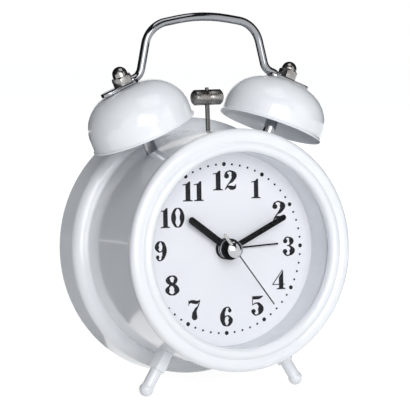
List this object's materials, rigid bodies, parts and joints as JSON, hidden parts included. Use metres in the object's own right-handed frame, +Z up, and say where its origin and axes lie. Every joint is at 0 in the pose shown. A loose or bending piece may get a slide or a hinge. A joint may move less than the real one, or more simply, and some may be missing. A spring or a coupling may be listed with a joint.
{
  "type": "twin-bell alarm clock",
  "caption": "Enamelled desk alarm clock with bells and a hammer on top, a chromed carrying handle, a round dial and splayed ball feet.",
  "frame": {"origin": "on the table, under the middle of the clock's width and depth", "axes": "+Z up, +Y towards the clock's back, +X to the right as the dial is read; the clock leans back 5.03 degrees onto the rear rim"},
  "size_m": [0.1014, 0.0678, 0.1423],
  "materials": {
    "white_enamel": "glossy stoved enamel",
    "clear_glass": "clear, flat",
    "white_plastic": "moulded, white",
    "dial_face": "matt printed face",
    "black_plastic": "moulded, black",
    "polished_chrome": "mirror plated",
    "hammer_steel": "turned",
    "plated_steel": "zinc plated",
    "pad_rubber": "moulded",
    "black_enamel": "satin black",
    "dark_blued_steel": "dark plated",
    "acetal": "moulded, natural",
    "brass": "turned",
    "magnet": "bonded magnet with moulded pinion",
    "copper_wire": "enamelled winding",
    "circuit_laminate": "glass laminate",
    "cell_jacket": "plain printed sleeve",
    "nickel": "nickel plated spring steel"
  },
  "bodies": {
    "root": {"front_bezel": "white_enamel", "window_glass": "clear_glass", "reflector_ring": "white_plastic", "dial": "dial_face", "movement_carrier": "black_plastic", "case_drum": "white_enamel", "rear_cover": "white_plastic", "tie_screws": "plated_steel", "tie_sleeves": "plated_steel", "left_bell": "white_enamel", "right_bell": "white_enamel", "left_bell_post": "polished_chrome", "right_bell_post": "polished_chrome", "post_pads": "pad_rubber", "post_nuts": "plated_steel", "acorn_nuts": "polished_chrome", "handle": "polished_chrome", "left_foot": "white_enamel", "right_foot": "white_enamel", "foot_nuts": "plated_steel", "hammer_spring": "plated_steel", "striker_frame": "plated_steel", "hammer_pivot_pin": "plated_steel", "striker_motor": "plated_steel", "movement_front_shell": "black_plastic", "movement_back_shell": "black_plastic", "stepper_stator": "plated_steel", "stepper_coil": "copper_wire", "circuit_board": "circuit_laminate", "quartz_crystal": "plated_steel", "alarm_switch_body": "black_plastic", "battery_tray": "white_plastic", "battery": "cell_jacket", "positive_contact": "nickel", "negative_contact": "nickel"},
    "seconds": {"second_hand": "dark_blued_steel", "second_hand_cap": "polished_chrome", "second_wheel": "acetal"},
    "third_gear": {"third_wheel": "acetal"},
    "centre_gear": {"centre_wheel": "acetal"},
    "fifth_gear": {"fifth_wheel": "acetal"},
    "stepper": {"stepper_rotor": "magnet"},
    "time_set": {"time_set_knob": "black_plastic", "minute_wheel": "acetal"},
    "minutes": {"minute_hand": "black_enamel", "minute_arbor": "brass"},
    "hours": {"hour_hand": "black_enamel", "hour_wheel": "acetal"},
    "alarm_set": {"alarm_set_knob": "black_plastic", "alarm_pinion": "acetal"},
    "alarm_time": {"alarm_hand": "black_enamel", "alarm_wheel": "acetal"},
    "striker_crank": {"strike_gear": "acetal"},
    "motor_shaft": {"motor_pinion": "brass"},
    "hammer": {"hammer_head": "hammer_steel", "hammer_lever": "plated_steel"},
    "alarm_switch": {"alarm_switch_slider": "black_plastic"},
    "battery_lid": {"battery_door": "white_plastic"}
  },
  "joints": [
    {"name": "seconds_turn", "type": "hinge", "parent": "root", "child": "seconds", "pos_m": [0, -0.01365, 0.05416], "axis": [0, 0.9961, -0.0877], "continuous": true},
    {"name": "third_gear_turn", "type": "hinge", "parent": "root", "child": "third_gear", "pos_m": [-0.0051, -0.01442, 0.04536], "axis": [0, 0.9961, -0.0877], "continuous": true},
    {"name": "centre_gear_turn", "type": "hinge", "parent": "root", "child": "centre_gear", "pos_m": [0, -0.01365, 0.05416], "axis": [0, 0.9961, -0.0877], "continuous": true},
    {"name": "fifth_gear_turn", "type": "hinge", "parent": "root", "child": "fifth_gear", "pos_m": [0.01057, -0.01398, 0.05033], "axis": [0, 0.9961, -0.0877], "continuous": true},
    {"name": "stepper_turn", "type": "hinge", "parent": "root", "child": "stepper", "pos_m": [0.01205, -0.01472, 0.04199], "axis": [0, 0.9961, -0.0877], "continuous": true},
    {"name": "time_set_turn", "type": "hinge", "parent": "root", "child": "time_set", "pos_m": [0, -0.0127, 0.06492], "axis": [0, 0.9961, -0.0877], "continuous": true},
    {"name": "minute_hand_turn", "type": "hinge", "parent": "root", "child": "minutes", "pos_m": [0, -0.01365, 0.05416], "axis": [0, 0.9961, -0.0877], "continuous": true},
    {"name": "hour_hand_turn", "type": "hinge", "parent": "root", "child": "hours", "pos_m": [0, -0.01365, 0.05416], "axis": [0, 0.9961, -0.0877], "continuous": true},
    {"name": "alarm_set_turn", "type": "hinge", "parent": "root", "child": "alarm_set", "pos_m": [-0.0112, -0.01365, 0.05416], "axis": [0, 0.9961, -0.0877], "continuous": true},
    {"name": "alarm_hand_turn", "type": "hinge", "parent": "root", "child": "alarm_time", "pos_m": [0, -0.01365, 0.05416], "axis": [0, 0.9961, -0.0877], "continuous": true},
    {"name": "striker_crank_turn", "type": "hinge", "parent": "root", "child": "striker_crank", "pos_m": [-0.00089, 0.0001, 0.08306], "axis": [-0.0009, 0.9984, -0.0564], "continuous": true},
    {"name": "motor_shaft_turn", "type": "hinge", "parent": "root", "child": "motor_shaft", "pos_m": [0.00611, 0.00012, 0.08327], "axis": [-0.0009, 0.9984, -0.0564], "continuous": true},
    {"name": "hammer_swing", "type": "hinge", "parent": "root", "child": "hammer", "pos_m": [-0.0011, 0.00049, 0.09005], "axis": [-0.0009, 0.9984, -0.0564], "range_deg": [-7, 7], "stiffness_Nm_per_rad": 0.01},
    {"name": "alarm_switch_slide", "type": "slide", "parent": "root", "child": "alarm_switch", "axis": [1, 0, 0], "range_m": [0, 0.004]},
    {"name": "battery_lid_hinge", "type": "hinge", "parent": "root", "child": "battery_lid", "pos_m": [0, 0.02324, 0.02045], "axis": [-1, 0, 0], "range_deg": [0, 95]}
  ],
  "couplings": [
    {"joint": "third_gear_turn", "follows": "seconds_turn", "ratio": -0.13333},
    {"joint": "centre_gear_turn", "follows": "seconds_turn", "ratio": 0.016667},
    {"joint": "fifth_gear_turn", "follows": "seconds_turn", "ratio": -4},
    {"joint": "stepper_turn", "follows": "seconds_turn", "ratio": 30},
    {"joint": "minute_hand_turn", "follows": "time_set_turn", "ratio": -3},
    {"joint": "hour_hand_turn", "follows": "time_set_turn", "ratio": -0.25},
    {"joint": "alarm_hand_turn", "follows": "alarm_set_turn", "ratio": -0.4},
    {"joint": "motor_shaft_turn", "follows": "striker_crank_turn", "ratio": -4}
  ]
}
